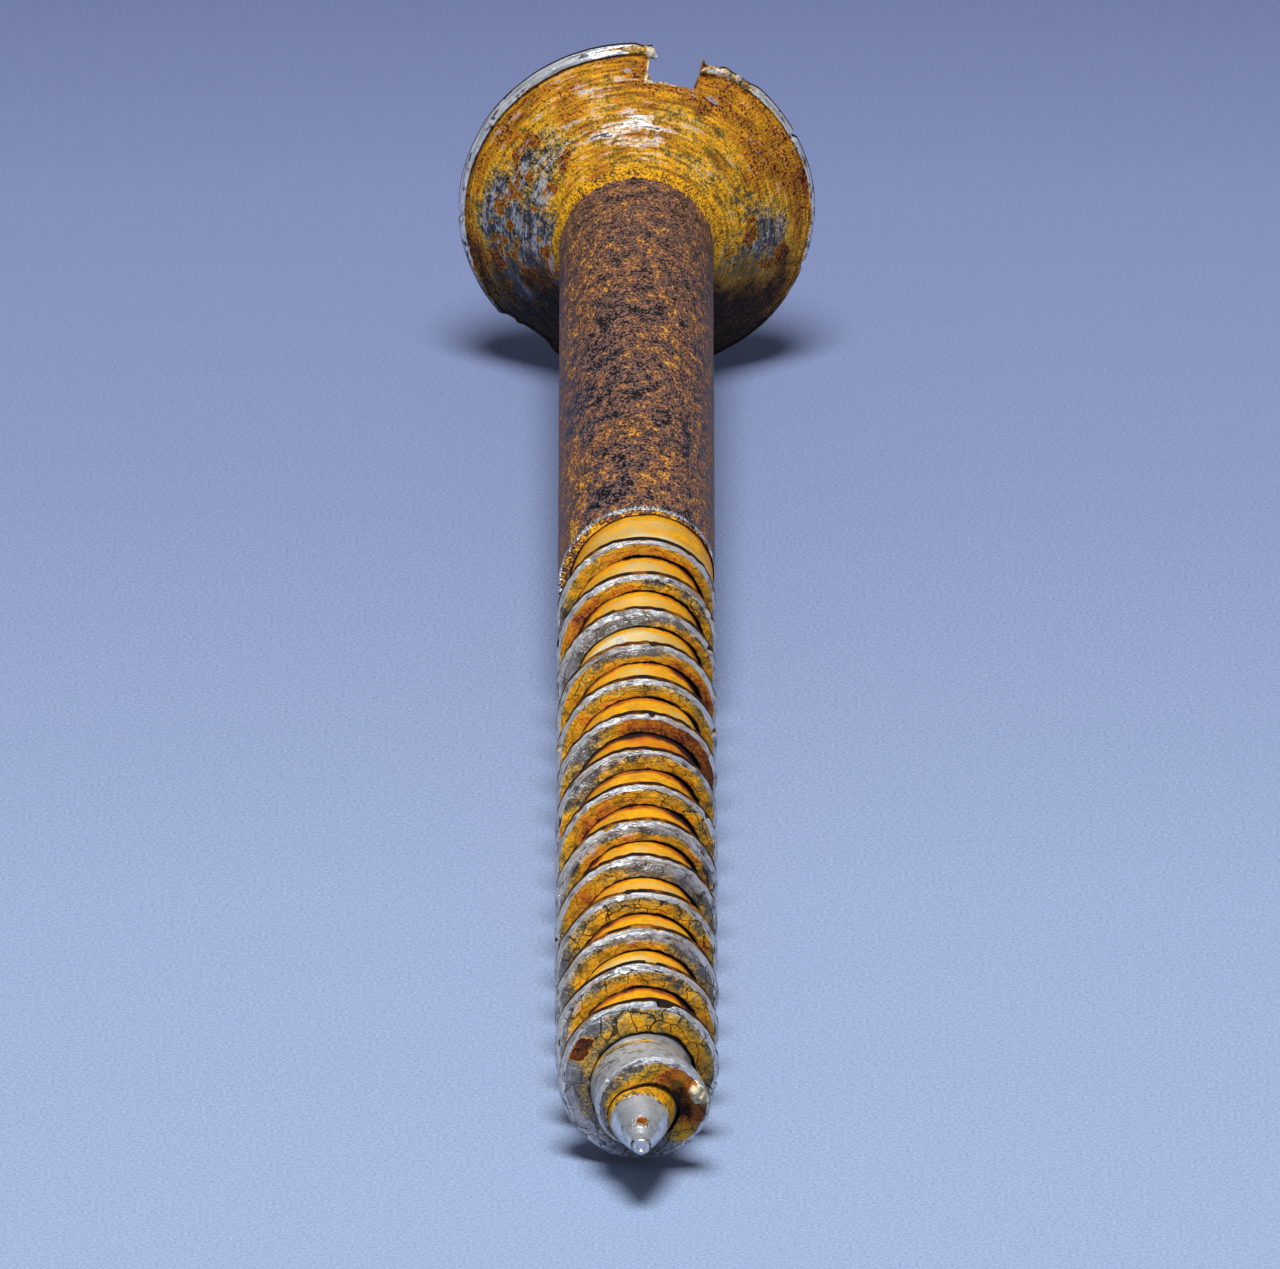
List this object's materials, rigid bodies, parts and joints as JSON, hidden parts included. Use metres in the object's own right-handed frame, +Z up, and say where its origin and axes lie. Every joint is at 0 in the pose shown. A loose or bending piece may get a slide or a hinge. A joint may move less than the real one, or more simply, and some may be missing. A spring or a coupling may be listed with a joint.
{
  "type": "slotted countersunk wood screw",
  "caption": "Weathered slotted countersunk wood screw with a plain shank, a cut helical thread and a tapered gimlet point, lying on its side.",
  "frame": {"origin": "middle of the part's box at the surface it rests on", "axes": "+Y from the tip towards the head, +Z up. The screw lies on its rim and on one crest, so its own axis dips 2.78 degrees towards the tip, in the plane x = 0"},
  "size_m": [0.0142, 0.0902, 0.0142],
  "materials": {
    "head_steel": "turned steel, patchy orange rust",
    "neck_steel": "steel under yellow rust",
    "shank_steel": "steel under dark brown scale",
    "core_steel": "cut steel stained yellow",
    "thread_steel": "cut steel, cracked, rust in the corners",
    "point_steel": "bright turned steel"
  },
  "bodies": {
    "root": {"head": "head_steel", "neck": "neck_steel", "shank": "shank_steel", "thread_core": "core_steel", "thread": "thread_steel", "gimlet_point": "point_steel"}
  },
  "joints": []
}
